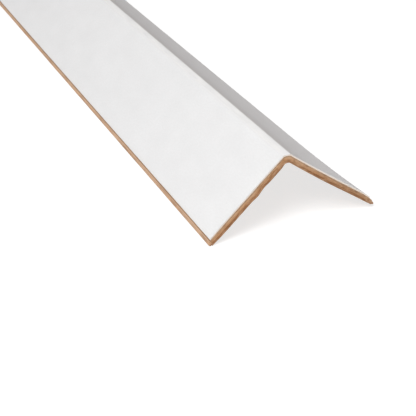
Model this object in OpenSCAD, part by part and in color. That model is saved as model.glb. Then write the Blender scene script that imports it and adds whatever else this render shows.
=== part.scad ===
// Pallet edge protector: an angle board of glued paper plies, folded lengthwise, with a white facing outside.
// It stands on its two free edges with the bend upwards, its length runs along Y, and the ends are cut square.

/* [Board] */
// Length of the board along Y
length = 750; // [300:10:2400]
// Width of each leg along its outer face, from the sharp outer corner to the tip of the longest ply
leg_w = 45; // [30:1:100]
// Thickness of the board, with its facing
board_t = 3; // [2:0.5:8]

/* [Plies] */
// Thickness of the white paper facing
facing_t = 0.4; // [0.2:0.1:0.8]
// Number of brown core plies behind the facing
core_plies = 5; // [2:1:12]

/* [Bend] */
// Angle between the two legs, as the fold has sprung open past square
bend_angle = 100; // [75:1:125]
// Radius of the bend on the outside
bend_outer_r = 2.5; // [1:0.5:8]
// Radius of the bend on the inside
bend_inner_r = 2; // [0.5:0.5:6]
// Angle of the faint crease where the bend meets each leg
crease_angle = 5; // [2:1:12]

/* [Free edges] */
// Ply that reaches furthest at a free edge, counted inwards from the facing as 0
longest_ply = 3; // [1:1:12]
// How far the facing stops short of the longest ply
facing_setback = 3; // [0:0.1:6]
// How far the innermost ply stops short of the longest ply
inner_setback = 0.8; // [0:0.1:3]

/* [Hidden] */
$fn = 96;

half_angle = bend_angle / 2;
ply_t = (board_t - facing_t) / core_plies;
nose_ply = min(longest_ply, core_plies);
// The outer radius is limited by the wall, so that the bend is nowhere thinner than the legs
outer_r = min(bend_outer_r, board_t + bend_inner_r);
// Length to which a leg runs before its plies are cut off, and room around the board for the cuts
blank_w = 2 * leg_w;
cut_room = board_t;

// Depth below the outer face at which a ply starts, with the facing as ply 0
function ply_depth(ply) = ply == 0 ? 0 : facing_t + (ply - 1) * ply_t;

// Radius of the bend at a depth below the outer face
function bend_r(depth) = outer_r + (bend_inner_r - outer_r) * depth / board_t;

// The plies end in a round nose: the fold pulls the outer ones back, and wear the inner ones
function setback(ply) = ply < nose_ply
    ? facing_setback * pow((nose_ply - ply) / nose_ply, 2)
    : inner_setback * pow((ply - nose_ply) / max(core_plies - nose_ply, 1), 2);

function ply_end(ply) = leg_w - setback(ply);

// Point of the right leg, by distance along its outer face from the sharp corner and depth below that face
function leg_point(along, depth) = [
    along * sin(half_angle) - depth * cos(half_angle),
    -along * cos(half_angle) - depth * sin(half_angle)
];

function flipped(point) = [-point[0], point[1]];

// Height of the sharp outer corner when the lowest ply edges stand on the ground
corner_h = max([for (ply = [0 : core_plies]) -leg_point(ply_end(ply), ply_depth(ply + 1))[1]]);

// What the bend's rounding takes off the sharp corner at a depth
module corner_cut(depth) {
    radius = bend_r(depth);
    centre_depth = depth + radius * cos(crease_angle);
    // Point of the face beside the rounding's centre
    foot = leg_point(centre_depth / tan(half_angle), depth);
    difference() {
        translate([-2 * foot[0], foot[1]]) square([4 * foot[0], -2 * foot[1]]);
        translate([0, -centre_depth / sin(half_angle)]) circle(radius);
    }
}

// All that lies under the folded surface at a depth below the outer face
module under(depth) {
    corner = leg_point(depth / tan(half_angle), depth);
    far = leg_point(blank_w, depth);
    difference() {
        polygon([corner, far, flipped(far)]);
        corner_cut(depth);
    }
}

// What is trimmed off past a ply's end on the right leg
module past_end(ply) {
    rotate(half_angle - 90)
        translate([ply_end(ply), -board_t - cut_room])
            square([blank_w, board_t + 2 * cut_room]);
}

// Section of one ply, folded over and trimmed at both free edges
module ply_section(ply) {
    difference() {
        under(ply_depth(ply));
        under(ply_depth(ply + 1));
        past_end(ply);
        mirror([1, 0]) past_end(ply);
    }
}

// Runs a section along the board, at its height above the ground
module along_board() {
    translate([0, 0, corner_h]) rotate([90, 0, 0]) linear_extrude(length, center = true) children();
}

module angle_board() {
    color("white") along_board() ply_section(0);
    color("peru") along_board() {
        for (ply = [1 : core_plies]) ply_section(ply);
    }
}

angle_board();
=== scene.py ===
"""Looks of the pallet edge protector: an angle board of glued paper plies with a white paper facing.

The board is made as the real one is. A flat stack of plies is laid out and trimmed ply by ply, run out to
its length, worn at its cut ends and free edges, and then folded over the bend. Every vertex keeps its place
on the flat stack as an attribute, so that paper grain and ply streaks follow the fold. Lengths are in
metres, as in the frame.
"""

import logging
import math
from abc import ABC, abstractmethod
from dataclasses import dataclass, field
from enum import Enum

import bmesh
import bpy
from mathutils import Color, Matrix, Vector, noise


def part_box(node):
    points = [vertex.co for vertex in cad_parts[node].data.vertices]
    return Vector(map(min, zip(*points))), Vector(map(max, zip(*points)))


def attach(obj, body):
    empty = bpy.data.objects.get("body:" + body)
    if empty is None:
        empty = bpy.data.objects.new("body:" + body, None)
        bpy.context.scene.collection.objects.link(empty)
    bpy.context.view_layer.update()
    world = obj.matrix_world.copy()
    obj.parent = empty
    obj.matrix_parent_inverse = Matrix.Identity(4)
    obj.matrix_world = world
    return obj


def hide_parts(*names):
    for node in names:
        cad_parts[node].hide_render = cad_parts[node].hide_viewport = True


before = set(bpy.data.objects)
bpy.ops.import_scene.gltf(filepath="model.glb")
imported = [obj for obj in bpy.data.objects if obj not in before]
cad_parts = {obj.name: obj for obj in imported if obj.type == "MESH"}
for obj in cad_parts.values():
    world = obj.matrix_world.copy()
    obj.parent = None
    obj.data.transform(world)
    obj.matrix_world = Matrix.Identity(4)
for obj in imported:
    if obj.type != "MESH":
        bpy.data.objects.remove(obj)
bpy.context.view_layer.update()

log = logging.getLogger("edge_protector")

MM = 0.001
FLAT_PLACE = "flat_place"
FADING = (1.0, 0.0)

Colour = tuple[float, float, float, float]
Feeds = dict[str | int, object]
Socket = bpy.types.NodeSocket
Span = tuple[float, float]
Triple = tuple[float, float, float]


class Leg(Enum):
    """The legs of the angle, by the sign of their stations on the flat stack."""

    LEFT = -1
    RIGHT = 1


class Surface(Enum):
    """The kinds of surface on the board, by their material slots."""

    FACING = 0
    PLY_EDGES = 1
    LINER = 2


def paint(red: int, green: int, blue: int) -> Colour:
    """Gives the linear colour of an sRGB colour from 0 to 255."""
    linear = Color((red / 255, green / 255, blue / 255)).from_srgb_to_scene_linear()
    return (linear.r, linear.g, linear.b, 1.0)


def ramp(value: float, start: float, end: float) -> float:
    """Gives a smooth step from 0 at start to 1 at end.

    Args:
        value: The place on the step.
        start: Where the step begins.
        end: Where the step is done, on either side of start.

    Returns:
        The height of the step, from 0 to 1.
    """
    share = min(max((value - start) / (end - start), 0.0), 1.0)
    return share * share * (3.0 - 2.0 * share)


def hump(value: float, top: float, width: float) -> float:
    """Gives a smooth hump that is 1 at its top and fades out to both sides.

    Args:
        value: The place on the hump.
        top: Where the hump is highest.
        width: How far from the top it has fallen to about a third.

    Returns:
        The height of the hump, from 0 to 1.
    """
    return math.exp(-(((value - top) / width) ** 2))


@dataclass(frozen=True)
class PlyStack:
    """The plies while the board lies flat with its facing up.

    A station is a distance from the middle of the bend, negative on the left leg, and a depth is measured
    down from the facing.
    """

    leg_w: float = 45 * MM
    board_t: float = 3 * MM
    facing_t: float = 0.6 * MM
    core_plies: int = 5
    longest_ply: int = 3
    left_setback: float = 2.0 * MM
    right_setback: float = 3 * MM
    inner_setback: float = 0.8 * MM
    column_pitch: float = 0.6 * MM
    bend_columns: int = 20
    rows_per_ply: int = 4

    @property
    def ply_t(self) -> float:
        """Thickness of a core ply."""
        return (self.board_t - self.facing_t) / self.core_plies

    def ply_depth(self, ply: int) -> float:
        """Depth at which a ply starts, with the facing as ply 0."""
        return 0.0 if ply == 0 else self.facing_t + (ply - 1) * self.ply_t

    def ply_at(self, depth: float) -> int:
        """Number of the ply that holds a depth."""
        if depth < self.facing_t:
            return 0
        return min(1 + int((depth - self.facing_t) / self.ply_t), self.core_plies)

    def ply_end(self, ply: int, leg: Leg) -> float:
        """Gives the distance from the bend at which a ply is trimmed.

        Args:
            ply: Number of the ply, with the facing as 0.
            leg: The leg on which it ends.

        Returns:
            The station of its end to a tenth of a millimetre, without the leg's sign.
        """
        if ply >= self.longest_ply:
            share = (ply - self.longest_ply) / max(self.core_plies - self.longest_ply, 1)
            setback = self.inner_setback
        else:
            share = (self.longest_ply - ply) / self.longest_ply
            setback = self.left_setback if leg is Leg.LEFT else self.right_setback
        return round(self.leg_w - setback * share ** 2, 4)

    def rows(self) -> list[float]:
        """Depths of the mesh rows, with two rows in the facing and several in each ply."""
        depths = [0.0, self.facing_t / 2]
        for ply in range(1, self.core_plies + 1):
            for row in range(self.rows_per_ply):
                depths.append(self.ply_depth(ply) + self.ply_t * row / self.rows_per_ply)
        return depths + [self.board_t]

    def columns(self, bend_reach: float) -> list[float]:
        """Gives the stations of the mesh columns.

        Args:
            bend_reach: Half the width of the bend on the flat stack.

        Returns:
            The stations from the left free edge to the right one, with each ply's end among them.
        """
        bend_steps = range(self.bend_columns + 1)
        stations = [bend_reach * (2 * step / self.bend_columns - 1) for step in bend_steps]
        for leg in Leg:
            ends = sorted({self.ply_end(ply, leg) for ply in range(self.core_plies + 1)})
            marks = [bend_reach] + ends
            for near, far in zip(marks, marks[1:]):
                count = max(1, round((far - near) / self.column_pitch))
                steps = range(1, count + 1)
                stations += [leg.value * (near + (far - near) * step / count) for step in steps]
        return sorted(stations)


@dataclass(frozen=True)
class Bend:
    """The fold that turns the flat stack into an angle.

    The outside is nearly flat across the top and turns mostly at two creases, and the inside is round.
    """

    board_t: float
    half_angle: float = math.radians(50)
    outer_half: float = 1.6 * MM
    inner_half: float = 1.25 * MM
    outer_flatness: float = 6.0
    inner_flatness: float = 1.2
    depth_curve: float = 3.0
    spring_curve: float = 1.5
    settled: float = 10 * MM
    leg_w: float = 45 * MM
    steps: int = 12

    def at_depth(self, outer: float, inner: float, depth: float) -> float:
        """Value at a depth, between one for the outside and one for the inside."""
        return outer + (inner - outer) * depth / self.board_t

    def over_top(self, share: float, depth: float) -> tuple[float, float]:
        """Follows the bend's surface from its top towards a leg.

        Args:
            share: How much of the way to the leg is done, from 0 to 1.
            depth: Depth of the surface under the facing.

        Returns:
            The distance to the side and the drop from the top.
        """
        stride = self.at_depth(self.outer_half, self.inner_half, depth) * share / self.steps
        left = max(1.0 - depth / self.board_t, 0.0)
        round_in = (1.0 - left ** self.depth_curve) * self.board_t
        flatness = self.at_depth(self.outer_flatness, self.inner_flatness, round_in)
        side, drop = 0.0, 0.0
        for step in range(self.steps):
            turn = (math.pi / 2 - self.half_angle) * (share * (step + 0.5) / self.steps) ** flatness
            side += stride * math.cos(turn)
            drop += stride * math.sin(turn)
        return side, drop

    def start(self, depth: float) -> float:
        """Distance along a leg from the sharp corner to where the bend starts, at a depth."""
        side, _ = self.over_top(1.0, depth)
        return (side + depth * math.cos(self.half_angle)) / math.sin(self.half_angle)

    @property
    def reach(self) -> float:
        """Half the width of the bend on the flat stack."""
        return self.start(0.0)

    def on_leg(self, along: float, depth: float) -> tuple[float, float]:
        """Gives a point of the right leg in the section, from the sharp outer corner.

        Args:
            along: Distance along the outer face.
            depth: Depth under the outer face.

        Returns:
            The distance to the right of the corner and the height above it.
        """
        sine, cosine = math.sin(self.half_angle), math.cos(self.half_angle)
        return along * sine - depth * cosine, -along * cosine - depth * sine

    def fold(self, station: float, depth: float, opened: float) -> tuple[float, float]:
        """Takes a point of the flat stack to its place in the folded section.

        Args:
            station: Distance from the middle of the bend, negative on the left leg.
            depth: Depth under the facing.
            opened: Angle by which the leg has sprung open further.

        Returns:
            The distance to the right of the sharp outer corner and the height above it.
        """
        run = abs(station)
        side = math.copysign(1.0, station)
        start = self.start(depth)
        if run <= self.reach:
            whole = self.over_top(1.0, depth)
            part = self.over_top(run / self.reach, depth)
            return side * part[0], self.on_leg(start, depth)[1] + whole[1] - part[1]
        along = run
        if run < self.settled:
            along = start + (self.settled - start) * (run - self.reach) / (self.settled - self.reach)
        right, up = self.on_leg(along, depth)
        lift = opened * self.leg_w * (max(along - start, 0.0) / self.leg_w) ** self.spring_curve
        return side * (right + lift * math.cos(self.half_angle)), up + lift * math.sin(self.half_angle)


@dataclass(frozen=True)
class Wear:
    """What cutting, pressing and handling did to the flat stack.

    Waves are counted per metre. The bare numbers beside them in the noise give each ply, leg and end a
    pattern of its own.
    """

    stack: PlyStack
    length: float
    glue_groove: float = 0.05 * MM
    groove_w: float = 0.12 * MM
    ply_step: float = 0.09 * MM
    step_waves: float = 55.0
    saw_nap: float = 0.05 * MM
    nap_waves: Span = (420.0, 5200.0)
    edge_wave: float = 0.2 * MM
    slow_waves: float = 38.0
    quick_waves: float = 310.0
    nibble_reach: float = 0.5 * MM
    press_reach: float = 8 * MM
    left_press: float = 0.35 * MM
    right_press: float = 1.0 * MM
    kink_at: float = -19.5 * MM
    kink_w: float = 1.8 * MM
    kink_out: float = 0.28 * MM
    dent_at: float = -15 * MM
    dent_in: float = 0.2 * MM
    loosened: float = 0.27 * MM
    loose_from: Span = (-2 * MM, -5 * MM)
    loose_to: Span = (-44 * MM, -38 * MM)
    kink_fade: float = 12 * MM
    sprung: float = math.radians(2.25)
    sprung_fade: float = 65 * MM
    thinned: float = 0.22 * MM
    thinned_over: Span = (0.4, 0.8)
    thinned_fade: float = 40 * MM

    def from_front(self, lengthways: float) -> float:
        """Distance of a place from the front end."""
        return lengthways + self.length / 2

    def saw_cut(self, station: float, depth: float, end: float) -> float:
        """Gives how far a point of a cut end lies behind the cut.

        Args:
            station: Distance from the middle of the bend.
            depth: Depth under the facing.
            end: The sign of the end, so that the two ends differ.

        Returns:
            The set-back, which is never negative.
        """
        ply = self.stack.ply_at(depth - 0.01 * MM)
        if ply == 0:
            return 0.0
        glue_lines = [self.stack.ply_depth(line) for line in range(1, self.stack.core_plies + 1)]
        edge_gap = min(abs(depth - line) for line in glue_lines)
        groove = self.glue_groove * (1.0 - ramp(edge_gap, 0.0, self.groove_w))
        step = abs(noise.noise(Vector((station * self.step_waves, ply * 3.7, end * 9.1))))
        across, through = self.nap_waves
        nap = 0.5 + 0.5 * noise.noise(Vector((station * across, depth * through, end * 4.3)))
        return groove + self.ply_step * step + self.saw_nap * nap

    def edge_nibble(self, lengthways: float, ply: int, leg: Leg) -> float:
        """Gives how far the end of a ply falls short at a place along the board.

        Args:
            lengthways: The place along the board.
            ply: Number of the ply.
            leg: The leg on which it ends.

        Returns:
            The shortfall, which is never negative.
        """
        slow = noise.noise(Vector((lengthways * self.slow_waves, ply * 2.3, leg.value * 5.7)))
        quick = noise.noise(Vector((lengthways * self.quick_waves, ply * 4.1, leg.value * 8.3)))
        return self.edge_wave * (0.5 + 0.4 * slow + 0.1 * quick)

    def pressed(self, run: float, depth: float, leg: Leg) -> float:
        """Gives how far a point near a free edge is pressed in.

        Args:
            run: Distance from the middle of the bend.
            depth: Depth under the facing.
            leg: The leg on which the point lies.

        Returns:
            The added depth, which fades out towards the inside of the board.
        """
        share = max(0.0, (run - self.stack.leg_w) / self.press_reach + 1.0)
        press = self.left_press if leg is Leg.LEFT else self.right_press
        return press * share ** 2 * (1.0 - depth / self.stack.board_t)

    def kinked(self, station: float, lengthways: float, depth: float) -> float:
        """Gives how far the blow to the front end of the left leg moved a point inwards.

        Args:
            station: Distance from the middle of the bend.
            lengthways: The place along the board.
            depth: Depth under the facing.

        Returns:
            The added depth.
        """
        fade = 1.0 - ramp(self.from_front(lengthways), 0.0, self.kink_fade)
        kink = self.kink_out * hump(station, self.kink_at, self.kink_w)
        dent = self.dent_in * hump(station, self.dent_at, self.kink_w)
        loose = self.loosened * ramp(station, *self.loose_to) * ramp(station, *self.loose_from)
        return fade * (kink - dent + loose) * depth / self.stack.board_t

    def thinner(self, run: float, lengthways: float, depth: float) -> float:
        """Gives how far the inside of the right leg is pressed out near the front end.

        Args:
            run: Distance from the middle of the bend.
            lengthways: The place along the board.
            depth: Depth under the facing.

        Returns:
            The depth that is taken off.
        """
        fade = 1.0 - ramp(self.from_front(lengthways), 0.0, self.thinned_fade)
        outwards = ramp(run / self.stack.leg_w, *self.thinned_over)
        return self.thinned * fade * outwards * depth / self.stack.board_t

    def opened(self, lengthways: float) -> float:
        """Angle by which the right leg has sprung open further at a place along the board."""
        share = max(0.0, 1.0 - self.from_front(lengthways) / self.sprung_fade)
        return self.sprung * share ** 2


class NodeSheet:
    """A shader node tree that is filled node by node."""

    def __init__(self, tree: bpy.types.NodeTree) -> None:
        """Takes the tree to fill."""
        self.tree = tree

    def feed(self, node: bpy.types.Node, feeds: Feeds) -> None:
        """Sets or links a node's inputs.

        Args:
            node: The node to feed.
            feeds: For each input, by name or number, a constant or the socket that feeds it.
        """
        for name, value in feeds.items():
            if isinstance(value, Socket):
                self.tree.links.new(value, node.inputs[name])
            else:
                node.inputs[name].default_value = value

    def add(self, kind: str, feeds: Feeds | None = None, **settings: object) -> bpy.types.Node:
        """Adds a node.

        Args:
            kind: The node's type without the leading ShaderNode.
            feeds: What goes into its inputs, as feed takes it.
            settings: The node's own properties.

        Returns:
            The new node.
        """
        node = self.tree.nodes.new("ShaderNode" + kind)
        for name, value in settings.items():
            setattr(node, name, value)
        self.feed(node, feeds or {})
        return node

    def math(self, operation: str, first: object, second: object = 0.0) -> Socket:
        """Adds a Math node.

        Args:
            operation: Name of the operation.
            first: First value or socket.
            second: Second value or socket.

        Returns:
            The result's socket.
        """
        return self.add("Math", {0: first, 1: second}, operation=operation).outputs[0]

    def scale(self, value: Socket, source: tuple[object, object], target: Span = (0.0, 1.0)) -> Socket:
        """Maps a value from one range to another, and holds it there.

        Args:
            value: The socket to map.
            source: The range that it comes in, as numbers or sockets.
            target: The range that it goes to.

        Returns:
            The mapped value's socket.
        """
        feeds = {"Value": value, "From Min": source[0], "From Max": source[1]}
        feeds |= {"To Min": target[0], "To Max": target[1]}
        return self.add("MapRange", feeds).outputs["Result"]

    def blend(self, share: Socket, under: object, over: object, strength: float = 1.0) -> Socket:
        """Lays one colour over another.

        Args:
            share: Socket of the mask, 1 where the upper colour shows most.
            under: Lower colour or its socket.
            over: Upper colour or its socket.
            strength: How much of the upper colour shows where the mask is 1.

        Returns:
            The mixed colour's socket.
        """
        if strength != 1.0:
            share = self.math("MULTIPLY", share, strength)
        return self.add("Mix", {0: share, 6: under, 7: over}, data_type="RGBA").outputs[2]

    def noise(self, place: Socket, count: object, detail: float, rough: float) -> Socket:
        """Adds a noise pattern.

        Args:
            place: Socket of the place to read it at.
            count: Its count per metre in each direction, or the socket of it.
            detail: How many finer patterns are laid over it.
            rough: How strong the finer patterns are.

        Returns:
            The pattern's socket.
        """
        drawn = self.add("VectorMath", {0: place, 1: count}, operation="MULTIPLY").outputs[0]
        feeds = {"Vector": drawn, "Scale": 1.0, "Detail": detail, "Roughness": rough}
        return self.add("TexNoise", feeds).outputs[0]

    def effect(self, effect: "Effect", feeds: Feeds) -> bpy.types.Node:
        """Places a shared effect's group in the tree.

        Args:
            effect: The effect to place.
            feeds: What goes into its inputs, as feed takes it.

        Returns:
            The group node.
        """
        node = self.tree.nodes.new("ShaderNodeGroup")
        node.node_tree = effect.tree()
        self.feed(node, feeds)
        return node


class Effect(ABC):
    """A shader node group that several finishes share, built on its first use."""

    name: str = ""
    takes: dict[str, str] = {}
    gives: dict[str, str] = {}

    def tree(self) -> bpy.types.NodeTree:
        """Gives the group, and builds it if it isn't there yet."""
        if self.name in bpy.data.node_groups:
            return bpy.data.node_groups[self.name]
        tree = bpy.data.node_groups.new(self.name, "ShaderNodeTree")
        for socket, kind in self.takes.items():
            tree.interface.new_socket(socket, in_out="INPUT", socket_type="NodeSocket" + kind)
        for socket, kind in self.gives.items():
            tree.interface.new_socket(socket, in_out="OUTPUT", socket_type="NodeSocket" + kind)
        source = tree.nodes.new("NodeGroupInput")
        target = tree.nodes.new("NodeGroupOutput")
        for socket, value in self.wire(NodeSheet(tree), source).items():
            tree.links.new(value, target.inputs[socket])
        return tree

    @abstractmethod
    def wire(self, sheet: NodeSheet, source: bpy.types.Node) -> dict[str, Socket]:
        """Wires the group.

        Args:
            sheet: The group's tree.
            source: The node with the group's inputs.

        Returns:
            The socket for each of the group's outputs.
        """


class PaperFibres(Effect):
    """Fibre or streak pattern of paper, drawn out by its own count per metre in each direction."""

    name = "paper_fibres"
    takes = {"Place": "Vector", "Count": "Vector", "Softness": "Float"}
    gives = {"Fibres": "Float"}
    middle = 0.5
    detail = 4.0
    rough = 0.6

    def wire(self, sheet: NodeSheet, source: bpy.types.Node) -> dict[str, Socket]:
        """Wires the group, as Effect.wire says."""
        cloud = sheet.noise(source.outputs["Place"], source.outputs["Count"], self.detail, self.rough)
        low = sheet.math("SUBTRACT", self.middle, source.outputs["Softness"])
        high = sheet.math("ADD", self.middle, source.outputs["Softness"])
        return {"Fibres": sheet.scale(cloud, (low, high))}


class WearAndShadeStrips(Effect):
    """Masks of the strips along the free edges, over the bend and in the two creases beside it, for wear,
    painted highlight and painted shade.
    """

    name = "wear_and_shade_strips"
    takes = {"Place": "Vector", "Leg Width": "Float", "Edge Reach": "Float", "Bend Reach": "Float"}
    gives = {"Free Edge": "Float", "Bend": "Float", "Crease": "Float"}
    bend_blur = (-0.3 * MM, 0.3 * MM)
    crease_blur = (0.1 * MM, 0.7 * MM)
    patch_count = (260.0, 70.0, 260.0)
    patch_range = (0.25, 1.0)
    middle = (0.3, 0.7)
    detail = 3.0
    rough = 0.55

    def wire(self, sheet: NodeSheet, source: bpy.types.Node) -> dict[str, Socket]:
        """Wires the group, as Effect.wire says."""
        parts = sheet.add("SeparateXYZ", {0: source.outputs["Place"]})
        run = sheet.math("ABSOLUTE", parts.outputs["X"])
        inner = sheet.math("SUBTRACT", source.outputs["Leg Width"], source.outputs["Edge Reach"])
        edge = sheet.scale(run, (inner, source.outputs["Leg Width"]))
        past_bend = sheet.math("SUBTRACT", run, source.outputs["Bend Reach"])
        bend = sheet.scale(past_bend, self.bend_blur, FADING)
        crease_shade = sheet.scale(sheet.math("ABSOLUTE", past_bend), self.crease_blur, FADING)
        cloud = sheet.noise(source.outputs["Place"], self.patch_count, self.detail, self.rough)
        patchy = sheet.scale(cloud, self.middle, self.patch_range)
        masks = {"Free Edge": edge, "Bend": bend, "Crease": crease_shade}
        return {name: sheet.math("MULTIPLY", mask, patchy) for name, mask in masks.items()}


@dataclass(frozen=True)
class Pattern:
    """A fibre pattern of paper.

    Its count is per metre across the leg, along the board and through its thickness, and its softness says
    how gently it goes from 0 to 1.
    """

    count: Triple
    softness: float


@dataclass(frozen=True)
class Finish(ABC):
    """A finish of the board, which reads each point's place on the flat stack."""

    stack: PlyStack
    name: str = ""
    colour: Colour = paint(255, 255, 255)
    rough: Span = (0.6, 0.8)
    relief: float = 0.03 * MM
    bump: float = 0.6
    gloss: float = 0.1
    edge_reach: float = 4 * MM
    bend_reach: float = 2 * MM

    def material(self) -> bpy.types.Material:
        """Makes the material."""
        material = bpy.data.materials.new(self.name)
        material.use_nodes = True
        material.diffuse_color = self.colour
        sheet = NodeSheet(material.node_tree)
        shader = material.node_tree.nodes["Principled BSDF"]
        place = sheet.add("Attribute", attribute_name=FLAT_PLACE).outputs["Vector"]
        colour, height = self.wire(sheet, place)
        bump = sheet.add("Bump", {"Height": height, "Strength": self.bump, "Distance": self.relief})
        rough = sheet.scale(height, (0.0, 1.0), self.rough)
        sheet.feed(shader, {"Base Color": colour, "Roughness": rough, "Normal": bump.outputs["Normal"]})
        sheet.feed(shader, {"Specular IOR Level": self.gloss})
        return material

    @abstractmethod
    def wire(self, sheet: NodeSheet, place: Socket) -> tuple[Socket, Socket]:
        """Wires the finish.

        Args:
            sheet: The material's tree.
            place: Socket of the point's place on the flat stack.

        Returns:
            The sockets of the colour and of the fine relief, which goes from 0 to 1.
        """

    def fibres(self, sheet: NodeSheet, place: Socket, pattern: Pattern) -> Socket:
        """Places a fibre pattern.

        Args:
            sheet: The material's tree.
            place: Socket of the point's place on the flat stack.
            pattern: The pattern to place.

        Returns:
            The pattern's socket.
        """
        feeds = {"Place": place, "Count": pattern.count, "Softness": pattern.softness}
        return sheet.effect(PaperFibres(), feeds).outputs["Fibres"]

    def wear(self, sheet: NodeSheet, place: Socket) -> bpy.types.NodeOutputs:
        """Places the masks for wear, painted highlight and painted shade.

        Args:
            sheet: The material's tree.
            place: Socket of the point's place on the flat stack.

        Returns:
            The sockets of the masks, by their names.
        """
        feeds = {"Place": place, "Leg Width": self.stack.leg_w}
        feeds |= {"Edge Reach": self.edge_reach, "Bend Reach": self.bend_reach}
        return sheet.effect(WearAndShadeStrips(), feeds).outputs


@dataclass(frozen=True)
class WhiteFacing(Finish):
    """Smooth white paper with faint clouds and fibres, a painted highlight over the fold, painted shade in
    its creases and to its right, and painted light near the right free edge.
    """

    name: str = "white_paper_facing"
    colour: Colour = paint(240, 240, 240)
    rough: Span = (0.62, 0.76)
    relief: float = 0.02 * MM
    gloss: float = 0.04
    cloud: Colour = paint(235, 235, 235)
    clouds: Pattern = Pattern((95.0, 42.0, 95.0), 0.2)
    fibre: Colour = paint(226, 226, 225)
    grain: Pattern = Pattern((1500.0, 520.0, 1500.0), 0.25)
    # Painted highlight: the colour of the lighter strip over the fold.
    fold: Colour = paint(252, 251, 249)
    # Painted shade: the colour of the creases beside the bend and of the strip on the right leg beside the
    # fold.
    crease_shade: Colour = paint(208, 205, 202)
    crease_from: Span = (1.6 * MM, 2.2 * MM)
    crease_to: Span = (3 * MM, 15 * MM)
    # Painted light: the colour towards which the right leg grows lighter near its free edge.
    painted_light: Colour = paint(255, 255, 254)
    painted_light_from: Span = (6 * MM, 34 * MM)
    # Painted shade: a darker, warmer tint over the whole right leg.
    painted_shade: Colour = paint(222, 216, 212)
    grime: Colour = paint(224, 218, 209)
    edge: Colour = paint(238, 226, 212)
    edge_from: Span = (-0.25 * MM, -0.05 * MM)

    def wire(self, sheet: NodeSheet, place: Socket) -> tuple[Socket, Socket]:
        """Wires the finish, as Finish.wire says."""
        parts = sheet.add("SeparateXYZ", {0: place})
        clouds = self.fibres(sheet, place, self.clouds)
        grain = self.fibres(sheet, place, self.grain)
        wear = self.wear(sheet, place)
        # Masks across the right leg, which carry its painted shade and painted light.
        past_fold = sheet.scale(parts.outputs["X"], self.crease_from)
        beside_fold = sheet.scale(parts.outputs["X"], self.crease_to, FADING)
        off_fold = sheet.scale(parts.outputs["X"], self.painted_light_from)
        cut = sheet.scale(parts.outputs["Z"], self.edge_from, FADING)
        colour = sheet.blend(clouds, self.colour, self.cloud)
        colour = sheet.blend(grain, colour, self.fibre, 0.45)
        # Painted highlight: the strip over the bend is lightened, in patches.
        colour = sheet.blend(wear["Bend"], colour, self.fold)
        # Painted shade: a thin darker line in both creases beside the bend.
        colour = sheet.blend(wear["Crease"], colour, self.crease_shade, 0.25)
        # Painted shade: a grey strip on the right leg beside the fold, fading out between 3 and 15 mm from
        # the middle of the bend.
        colour = sheet.blend(sheet.math("MULTIPLY", past_fold, beside_fold), colour, self.crease_shade, 0.5)
        # Painted light: the right leg grows lighter from 6 mm to 34 mm past the middle of the bend.
        colour = sheet.blend(off_fold, colour, self.painted_light, 0.6)
        # Painted shade: the whole right leg past the fold is tinted darker and warmer.
        colour = sheet.blend(past_fold, colour, self.painted_shade, 0.25)
        colour = sheet.blend(wear["Free Edge"], colour, self.grime, 0.6)
        return sheet.blend(cut, colour, self.edge), grain


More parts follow.
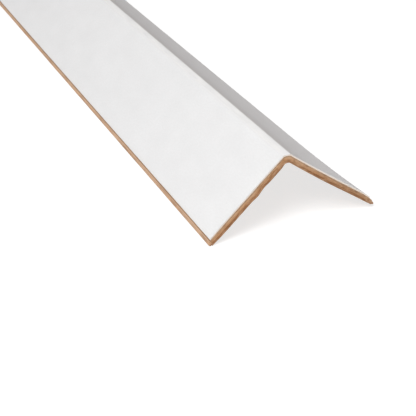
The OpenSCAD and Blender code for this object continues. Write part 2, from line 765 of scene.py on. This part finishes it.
@dataclass(frozen=True)
class PlyEdges(Finish):
    """Cut edges of the brown plies in their own tones, with glue lines, streaks, a rubbed nose and a
    painted shadow line past the facing's edge.
    """

    name: str = "kraft_ply_edges"
    colour: Colour = paint(178, 132, 94)
    rough: Span = (0.78, 0.95)
    relief: float = 0.04 * MM
    gloss: float = 0.12
    edge_reach: float = 2.6 * MM
    plies: tuple[Colour, ...] = (
        paint(192, 156, 125),
        paint(206, 161, 121),
        paint(197, 147, 105),
        paint(155, 104, 64),
        paint(160, 113, 76),
    )
    pale: Colour = paint(206, 172, 140)
    dark: Colour = paint(120, 80, 48)
    # Colour of the glue lines between the plies, and of the painted shadow line just past the facing's
    # edge.
    glue_and_shadow: Colour = paint(128, 88, 56)
    rubbed: Colour = paint(214, 183, 158)
    waves: Pattern = Pattern((140.0, 60.0, 300.0), 0.3)
    sway: float = 0.16 * MM
    streaks: Pattern = Pattern((60.0, 45.0, 2100.0), 0.17)
    patches: Pattern = Pattern((120.0, 45.0, 900.0), 0.2)
    mottle: Pattern = Pattern((330.0, 120.0, 1100.0), 0.15)
    fuzz: Pattern = Pattern((2600.0, 1800.0, 4200.0), 0.25)
    darker_over: Span = (-10 * MM, 36 * MM)
    glue_line: Span = (0.0, 0.14)
    step_top: Span = (0.15, 0.3)
    line_w: float = 0.5 * MM
    rub_w: float = 1.4 * MM

    def wire(self, sheet: NodeSheet, place: Socket) -> tuple[Socket, Socket]:
        """Wires the finish, as Finish.wire says."""
        parts = sheet.add("SeparateXYZ", {0: place})
        level = self.level(sheet, place, parts.outputs["Z"])
        fuzz = self.fibres(sheet, place, self.fuzz)
        darker = sheet.scale(parts.outputs["X"], self.darker_over)
        colour = sheet.blend(darker, self.tones(sheet, level), self.dark, 0.4)
        colour = self.mottled(sheet, place, colour)
        colour = self.glued(sheet, place, level, colour)
        return sheet.blend(fuzz, colour, self.pale, 0.2), fuzz

    def level(self, sheet: NodeSheet, place: Socket, height: Socket) -> Socket:
        """Gives the level in the core plies, with a slight sway.

        Args:
            sheet: The material's tree.
            place: Socket of the point's place on the flat stack.
            height: Socket of its height, which is negative below the facing.

        Returns:
            A socket that goes from 0 under the facing to 1 at the inside.
        """
        waves = self.fibres(sheet, place, self.waves)
        sway = sheet.math("MULTIPLY", sheet.math("SUBTRACT", waves, 0.5), self.sway)
        depth = sheet.math("SUBTRACT", sway, height)
        return sheet.scale(depth, (self.stack.facing_t, self.stack.board_t))

    def tones(self, sheet: NodeSheet, level: Socket) -> Socket:
        """Gives each ply its tone.

        Args:
            sheet: The material's tree.
            level: Socket of the level in the core plies.

        Returns:
            The tone's socket.
        """
        node = sheet.add("ValToRGB", {0: level})
        steps = node.color_ramp
        steps.interpolation = "CONSTANT"
        steps.elements[1].position = 1.0 / len(self.plies)
        for count in range(2, len(self.plies)):
            steps.elements.new(count / len(self.plies))
        for element, tone in zip(steps.elements, self.plies):
            element.color = tone
        return node.outputs["Color"]

    def mottled(self, sheet: NodeSheet, place: Socket, colour: Socket) -> Socket:
        """Lays pale and dark streaks and spots over a colour.

        Args:
            sheet: The material's tree.
            place: Socket of the point's place on the flat stack.
            colour: Socket of the colour.

        Returns:
            The new colour's socket.
        """
        streaks = self.fibres(sheet, place, self.streaks)
        mottle = self.fibres(sheet, place, self.mottle)
        colour = sheet.blend(sheet.scale(streaks, (0.55, 1.0)), colour, self.pale, 0.55)
        colour = sheet.blend(sheet.scale(streaks, (0.0, 0.4), FADING), colour, self.dark, 0.55)
        colour = sheet.blend(sheet.scale(mottle, (0.5, 1.0)), colour, self.pale, 0.6)
        return sheet.blend(sheet.scale(mottle, (0.0, 0.42), FADING), colour, self.dark, 0.6)

    def glued(self, sheet: NodeSheet, place: Socket, level: Socket, colour: Socket) -> Socket:
        """Lays glue lines between the plies over a colour, a paler rub over the steps of the nose, and a
        painted shadow line where the nose starts.

        Args:
            sheet: The material's tree.
            place: Socket of the point's place on the flat stack.
            level: Socket of the level in the core plies.
            colour: Socket of the colour.

        Returns:
            The new colour's socket.
        """
        across = sheet.add("SeparateXYZ", {0: place}).outputs["X"]
        in_plies = sheet.math("MULTIPLY", level, float(len(self.plies)))
        from_line = sheet.math("PINGPONG", in_plies, 0.5)
        nose = self.nose(sheet, across)
        before_nose = sheet.math("SUBTRACT", 1.0, nose)
        line = sheet.math("MULTIPLY", sheet.scale(from_line, self.glue_line, FADING), before_nose)
        patchy = sheet.math("MULTIPLY", line, self.fibres(sheet, place, self.patches))
        top = sheet.math("MULTIPLY", nose, sheet.scale(from_line, self.step_top, FADING))
        rub_span = (self.stack.leg_w - self.rub_w, self.stack.leg_w)
        rub = sheet.math("MULTIPLY", top, sheet.scale(sheet.math("ABSOLUTE", across), rub_span, FADING))
        colour = sheet.blend(patchy, colour, self.glue_and_shadow, 0.75)
        colour = sheet.blend(rub, colour, self.rubbed, 0.55)
        colour = sheet.blend(self.wear(sheet, place)["Free Edge"], colour, self.rubbed, 0.3)
        # Painted shadow: a dark line on the step tops just past the facing's edge, in the glue colour.
        return sheet.blend(sheet.math("MULTIPLY", top, before_nose), colour, self.glue_and_shadow, 3.4)

    def nose(self, sheet: NodeSheet, across: Socket) -> Socket:
        """Gives the mask of the plies that stand past the facing's two edges.

        Args:
            sheet: The material's tree.
            across: Socket of the place across the flat stack, from the fold.

        Returns:
            A socket that rises from 0 to 1 just past the facing.
        """
        left_edge = self.stack.left_setback - self.stack.leg_w
        right_edge = self.stack.leg_w - self.stack.right_setback
        left = sheet.scale(across, (left_edge - self.line_w, left_edge), FADING)
        right = sheet.scale(across, (right_edge, right_edge + self.line_w))
        return sheet.math("MAXIMUM", left, right)


@dataclass(frozen=True)
class KraftLiner(Finish):
    """Raw brown kraft paper inside the angle, with fibres drawn along the board."""

    name: str = "kraft_liner"
    colour: Colour = paint(184, 142, 104)
    rough: Span = (0.7, 0.88)
    relief: float = 0.03 * MM
    gloss: float = 0.15
    edge_reach: float = 5 * MM
    bend_reach: float = 3 * MM
    cloud: Colour = paint(173, 130, 92)
    clouds: Pattern = Pattern((120.0, 40.0, 120.0), 0.25)
    fibre: Colour = paint(205, 169, 134)
    grain: Pattern = Pattern((2200.0, 260.0, 2200.0), 0.2)
    speck: Colour = paint(140, 99, 64)
    specks: Pattern = Pattern((1300.0, 700.0, 1300.0), 0.2)
    scuff: Colour = paint(198, 160, 124)

    def wire(self, sheet: NodeSheet, place: Socket) -> tuple[Socket, Socket]:
        """Wires the finish, as Finish.wire says."""
        clouds = self.fibres(sheet, place, self.clouds)
        grain = self.fibres(sheet, place, self.grain)
        specks = self.fibres(sheet, place, self.specks)
        wear = self.wear(sheet, place)
        worn = sheet.math("MAXIMUM", wear["Free Edge"], wear["Bend"])
        colour = sheet.blend(clouds, self.colour, self.cloud)
        colour = sheet.blend(grain, colour, self.fibre, 0.35)
        colour = sheet.blend(sheet.scale(specks, (0.75, 1.0)), colour, self.speck, 0.5)
        return sheet.blend(worn, colour, self.scuff, 0.5), grain


@dataclass
class AngleBoard:
    """The whole protector: one laminated board, folded over lengthwise."""

    node: str = "angle_board"
    slot: str = "white_faced_board"
    stack: PlyStack = field(default_factory=PlyStack)
    rings: int = 96
    ply_round: float = 0.08 * MM
    ply_corner: float = math.radians(60)
    sharp_angle: float = math.radians(32)
    hair: float = 0.01 * MM
    length: float = field(init=False)
    bend: Bend = field(init=False)
    wear: Wear = field(init=False)

    def __post_init__(self) -> None:
        """Takes the length from the frame, and sets up the bend and the wear."""
        low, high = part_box(self.node)
        self.length = high[1] - low[1]
        self.bend = Bend(self.stack.board_t, leg_w=self.stack.leg_w)
        self.wear = Wear(self.stack, self.length)

    @property
    def corner(self) -> Vector:
        """The sharp outer corner at the front end, when the lowest ply edges stand on the ground."""
        plies = range(self.stack.core_plies + 1)
        ends = [(self.stack.ply_end(ply, Leg.RIGHT), self.stack.ply_depth(ply + 1)) for ply in plies]
        return Vector((0.0, -self.length / 2, max(-self.bend.on_leg(*end)[1] for end in ends)))

    def build(self) -> bpy.types.Object:
        """Makes the board's mesh from a flat stack to the folded board, as a new object."""
        bm = bmesh.new()
        self.lay_out(bm)
        self.trim(bm)
        self.run_out(bm)
        self.round_plies(bm)
        self.add_rings(bm)
        self.sort_surfaces(bm)
        self.wear_down(bm)
        self.fold_over(bm)
        bmesh.ops.recalc_face_normals(bm, faces=bm.faces)
        mesh = bpy.data.meshes.new("angle_board_plies")
        bm.to_mesh(mesh)
        bm.free()
        mesh.shade_smooth()
        mesh.set_sharp_from_angle(angle=self.sharp_angle)
        piece = bpy.data.objects.new("angle_board_plies", mesh)
        bpy.context.scene.collection.objects.link(piece)
        return piece

    def lay_out(self, bm: bmesh.types.BMesh) -> None:
        """Lays out the flat section at the front end as a grid of columns and rows.

        Args:
            bm: The empty mesh.
        """
        columns = self.stack.columns(self.bend.reach)
        rows = self.stack.rows()
        upright = Matrix.Rotation(math.pi / 2, 4, "X")
        across, down = len(columns) - 1, len(rows) - 1
        bmesh.ops.create_grid(bm, x_segments=across, y_segments=down, size=1.0, matrix=upright)
        for vert in bm.verts:
            column = round((vert.co.x + 1.0) / 2.0 * across)
            row = round((1.0 - vert.co.z) / 2.0 * down)
            vert.co = (columns[column], -self.length / 2, -rows[row])

    def trim(self, bm: bmesh.types.BMesh) -> None:
        """Trims each ply at both free edges.

        Args:
            bm: The flat section.
        """
        waste = []
        for face in bm.faces:
            middle = face.calc_center_median()
            leg = Leg.LEFT if middle.x < 0 else Leg.RIGHT
            if abs(middle.x) > self.stack.ply_end(self.stack.ply_at(-middle.z), leg):
                waste.append(face)
        bmesh.ops.delete(bm, geom=waste, context="FACES")

    def run_out(self, bm: bmesh.types.BMesh) -> None:
        """Runs the section out to the board's length.

        Args:
            bm: The trimmed section.
        """
        made = bmesh.ops.extrude_face_region(bm, geom=bm.faces[:])["geom"]
        far = [item for item in made if isinstance(item, bmesh.types.BMVert)]
        bmesh.ops.translate(bm, vec=(0.0, self.length, 0.0), verts=far)
        bmesh.ops.recalc_face_normals(bm, faces=bm.faces)

    def is_long(self, edge: bmesh.types.BMEdge) -> bool:
        """Tells whether an edge runs from one end of the board to the other."""
        return abs(edge.verts[0].co.y - edge.verts[1].co.y) > self.length / 2

    def round_plies(self, bm: bmesh.types.BMesh) -> None:
        """Rounds the long edges at which each ply ends.

        Args:
            bm: The flat board.
        """
        convex = [edge for edge in bm.edges if self.is_long(edge) and edge.is_convex]
        ends = [edge for edge in convex if edge.calc_face_angle() > self.ply_corner]
        bmesh.ops.bevel(bm, geom=ends, offset=self.ply_round, offset_type="OFFSET", affect="EDGES",
                        segments=2, profile=0.5, material=-1, clamp_overlap=True)

    def add_rings(self, bm: bmesh.types.BMesh) -> None:
        """Divides the board along its length, closest at the two cut ends.

        Args:
            bm: The flat board.
        """
        runs = [edge for edge in bm.edges if self.is_long(edge)]
        bmesh.ops.subdivide_edges(bm, edges=runs, cuts=self.rings - 1, use_grid_fill=True)
        for vert in bm.verts:
            vert.co.y = self.length / 2 * math.sin(math.pi * vert.co.y / self.length)

    def sort_surfaces(self, bm: bmesh.types.BMesh) -> None:
        """Gives each face its kind of surface, and each vertex its place on the flat stack.

        Args:
            bm: The flat board.
        """
        for face in bm.faces:
            depth = -face.calc_center_median().z
            kind = Surface.PLY_EDGES
            if depth < self.stack.facing_t - self.hair:
                kind = Surface.FACING
            elif depth > self.stack.board_t - self.hair:
                kind = Surface.LINER
            face.material_index = kind.value
        place = bm.verts.layers.float_vector.new(FLAT_PLACE)
        for vert in bm.verts:
            vert[place] = vert.co

    def wear_down(self, bm: bmesh.types.BMesh) -> None:
        """Wears the flat board at its cut ends and free edges.

        Args:
            bm: The flat board.
        """
        place = bm.verts.layers.float_vector[FLAT_PLACE]
        for vert in bm.verts:
            station, lengthways, depth = vert[place].x, vert[place].y, -vert[place].z
            leg = Leg.LEFT if station < 0 else Leg.RIGHT
            if abs(abs(lengthways) - self.length / 2) < self.hair:
                side = math.copysign(1.0, lengthways)
                vert.co.y -= side * self.wear.saw_cut(station, depth, side)
            ply = self.stack.ply_at(depth)
            ply_end = self.stack.ply_end(ply, leg)
            near_end = ramp(abs(station), ply_end - self.wear.nibble_reach, ply_end)
            vert.co.x -= leg.value * near_end * self.wear.edge_nibble(lengthways, ply, leg)
            pushed = self.wear.pressed(abs(station), depth, leg)
            if leg is Leg.LEFT:
                pushed += self.wear.kinked(station, lengthways, depth)
            else:
                pushed -= self.wear.thinner(station, lengthways, depth)
            vert.co.z -= pushed

    def fold_over(self, bm: bmesh.types.BMesh) -> None:
        """Folds the flat board over the bend and stands it on its free edges.

        Args:
            bm: The worn board.
        """
        height = self.corner.z
        for vert in bm.verts:
            opened = self.wear.opened(vert.co.y) if vert.co.x > 0 else 0.0
            right, up = self.bend.fold(vert.co.x, -vert.co.z, opened)
            vert.co = (right, vert.co.y, height + up)

    def dress(self, piece: bpy.types.Object) -> None:
        """Gives the board its three finishes and its place in the frame.

        Args:
            piece: The built board.
        """
        for finish in (WhiteFacing(self.stack), PlyEdges(self.stack), KraftLiner(self.stack)):
            piece.data.materials.append(finish.material())
        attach(piece, "root")
        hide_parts(self.node)


@dataclass(frozen=True)
class PhotoCamera:
    """The camera, set by its place from the sharp corner at the board's front end."""

    lens_mm: float = 116.57
    sensor_mm: float = 36.0
    stand: Triple = (-168.6 * MM, -422.32 * MM, 192.22 * MM)
    down: float = math.radians(25.035)
    turned: float = math.radians(17.902)
    rolled: float = math.radians(5.337)
    clip_m: float = 0.01

    def build(self, corner: Vector) -> bpy.types.Object:
        """Makes the camera.

        Args:
            corner: The sharp outer corner at the front end.

        Returns:
            The camera object, which is also set as the scene's.
        """
        data = bpy.data.cameras.new("photo_camera")
        data.lens = self.lens_mm
        data.sensor_width = self.sensor_mm
        data.sensor_fit = "HORIZONTAL"
        data.clip_start = self.clip_m
        camera = bpy.data.objects.new("photo_camera", data)
        heading = Matrix.Rotation(-self.turned, 4, "Z")
        pitch = Matrix.Rotation(math.pi / 2 - self.down, 4, "X")
        roll = Matrix.Rotation(-self.rolled, 4, "Z")
        camera.matrix_world = Matrix.Translation(corner + Vector(self.stand)) @ heading @ pitch @ roll
        bpy.context.scene.collection.objects.link(camera)
        bpy.context.scene.camera = camera
        return camera


@dataclass(frozen=True)
class SoftBox:
    """A square soft lamp, set by the way and the distance at which it hangs from its aim."""

    name: str
    way: Triple
    far: float
    size: float
    watts: float
    tint: Triple = (0.99, 1.0, 1.0)

    def hang(self, aim: Vector) -> bpy.types.Object:
        """Hangs the lamp.

        Args:
            aim: The point at which it is aimed.

        Returns:
            The lamp object.
        """
        data = bpy.data.lights.new(self.name, "AREA")
        data.shape = "SQUARE"
        data.size = self.size
        data.energy = self.watts
        data.color = self.tint
        lamp = bpy.data.objects.new(self.name, data)
        direction = Vector(self.way).normalized()
        lamp.location = aim + direction * self.far
        lamp.rotation_euler = direction.to_track_quat("Z", "Y").to_euler()
        lamp.visible_camera = False
        bpy.context.scene.collection.objects.link(lamp)
        return lamp


@dataclass(frozen=True)
class Studio:
    """White floor and soft light, mostly from above with a little from the left, the front and the back."""

    floor_half: float = 3.0
    shadow_room: Span = (0.3, 0.55)
    shadow_shape: Triple = (1.0, 0.5, 1.0)
    floor_colour: Colour = paint(236, 236, 236)
    floor_seen: Colour = (0.37, 0.37, 0.37, 1.0)
    floor_glow: float = 0.74
    thrown: float = 0.45
    thrown_side: Span = (24 * MM, 28 * MM)
    thrown_end: Span = (270 * MM, 340 * MM)
    key: SoftBox = SoftBox("key_soft_box", (-0.38, -0.52, 0.77), 1.8, 0.9, 29.4)
    key_aim: float = 0.2
    back: SoftBox = SoftBox("back_soft_box", (-0.3, 0.5, 0.4), 0.7, 0.4, 1.5)
    sky: float = 0.185
    sky_tint: Colour = paint(255, 246, 248)

    def build(self, front: Vector, length: float) -> None:
        """Makes the floor, the lamps and the world.

        Args:
            front: The board's sharp corner at the front end.
            length: The board's length.
        """
        self.lay_floor()
        self.key.hang(front + Vector((0.0, self.key_aim * length, 0.0)))
        self.back.hang(front + Vector((0.0, length, 0.0)))
        self.light_world()
        bpy.context.scene.view_settings.view_transform = "Standard"

    def lay_floor(self) -> None:
        """Lays a white floor that keeps a soft shadow around the board and lights its inside."""
        bm = bmesh.new()
        bmesh.ops.create_grid(bm, x_segments=2, y_segments=2, size=self.floor_half)
        mesh = bpy.data.meshes.new("studio_floor")
        bm.to_mesh(mesh)
        bm.free()
        mesh.materials.append(self.floor_material())
        floor = bpy.data.objects.new("studio_floor", mesh)
        bpy.context.scene.collection.objects.link(floor)

    def floor_material(self) -> bpy.types.Material:
        """Makes the floor's material: white away from the board, and open to a camera below it."""
        material = bpy.data.materials.new("studio_floor")
        material.use_nodes = True
        material.node_tree.nodes.clear()
        sheet = NodeSheet(material.node_tree)
        plain = sheet.add("BsdfDiffuse", {"Color": self.floor_colour})
        seen = sheet.add("BsdfDiffuse", {"Color": self.floor_seen})
        glow = sheet.add("Emission", {"Strength": self.floor_glow})
        white = sheet.add("Emission", {"Strength": 1.0})
        nothing = sheet.add("BsdfTransparent")
        bright = sheet.add("AddShader", {0: seen.outputs[0], 1: glow.outputs[0]})
        place = sheet.add("TexCoord").outputs["Object"]
        near = sheet.add("VectorMath", {0: place, 1: self.shadow_shape}, operation="MULTIPLY")
        away = sheet.add("VectorMath", {0: near.outputs[0]}, operation="LENGTH").outputs["Value"]
        past = sheet.scale(away, self.shadow_room)
        shaded = sheet.add("MixShader", {0: past, 1: bright.outputs[0], 2: white.outputs[0]})
        thrown = sheet.add("Emission", {"Strength": self.under_board(sheet, place)})
        lit = sheet.add("AddShader", {0: plain.outputs[0], 1: thrown.outputs[0]})
        shown = sheet.add("MixShader", {0: self.is_seen(sheet), 1: lit.outputs[0], 2: shaded.outputs[0]})
        below = sheet.add("NewGeometry").outputs["Backfacing"]
        whole = sheet.add("MixShader", {0: below, 1: shown.outputs[0], 2: nothing.outputs[0]})
        sheet.add("OutputMaterial", {"Surface": whole.outputs[0]})
        return material

    def under_board(self, sheet: NodeSheet, place: Socket) -> Socket:
        """Gives the strength of the light that the floor throws up into the angle.

        Args:
            sheet: The floor's tree.
            place: Socket of the place on the floor.

        Returns:
            A socket that falls to 0 at the free edges and before the cut ends.
        """
        parts = sheet.add("SeparateXYZ", {0: place})
        sideways = sheet.scale(sheet.math("ABSOLUTE", parts.outputs["X"]), self.thrown_side, FADING)
        lengthways = sheet.scale(sheet.math("ABSOLUTE", parts.outputs["Y"]), self.thrown_end, FADING)
        return sheet.math("MULTIPLY", sheet.math("MULTIPLY", sideways, lengthways), self.thrown)

    def is_seen(self, sheet: NodeSheet) -> Socket:
        """Gives a mask of the rays that show the background.

        Args:
            sheet: The tree to work in.

        Returns:
            A socket that is 1 for camera, glossy and transmission rays.
        """
        path = sheet.add("LightPath")
        mirrored = sheet.math("MAXIMUM", path.outputs["Is Glossy Ray"], path.outputs["Is Transmission Ray"])
        return sheet.math("MAXIMUM", path.outputs["Is Camera Ray"], mirrored)

    def light_world(self) -> None:
        """Lights the world faintly, and shows it white."""
        world = bpy.data.worlds.new("studio")
        bpy.context.scene.world = world
        world.use_nodes = True
        world.node_tree.nodes.clear()
        sheet = NodeSheet(world.node_tree)
        faint = sheet.add("Background", {"Color": self.sky_tint, "Strength": self.sky})
        white = sheet.add("Background", {"Color": paint(255, 255, 255), "Strength": 1.0})
        shown = sheet.add("MixShader", {0: self.is_seen(sheet), 1: faint.outputs[0], 2: white.outputs[0]})
        sheet.add("OutputWorld", {"Surface": shown.outputs[0]})


def main() -> None:
    """Builds the camera, the board and the studio."""
    logging.basicConfig(level=logging.INFO, format="%(message)s")
    board = AngleBoard()
    camera = PhotoCamera().build(board.corner)
    log.info("%s: lens %.1f mm", camera.name, camera.data.lens)
    piece = board.build()
    board.dress(piece)
    log.info("%s: %d vertices, %d faces", piece.name, len(piece.data.vertices), len(piece.data.polygons))
    Studio().build(board.corner, board.length)


if __name__ == "__main__":
    main()
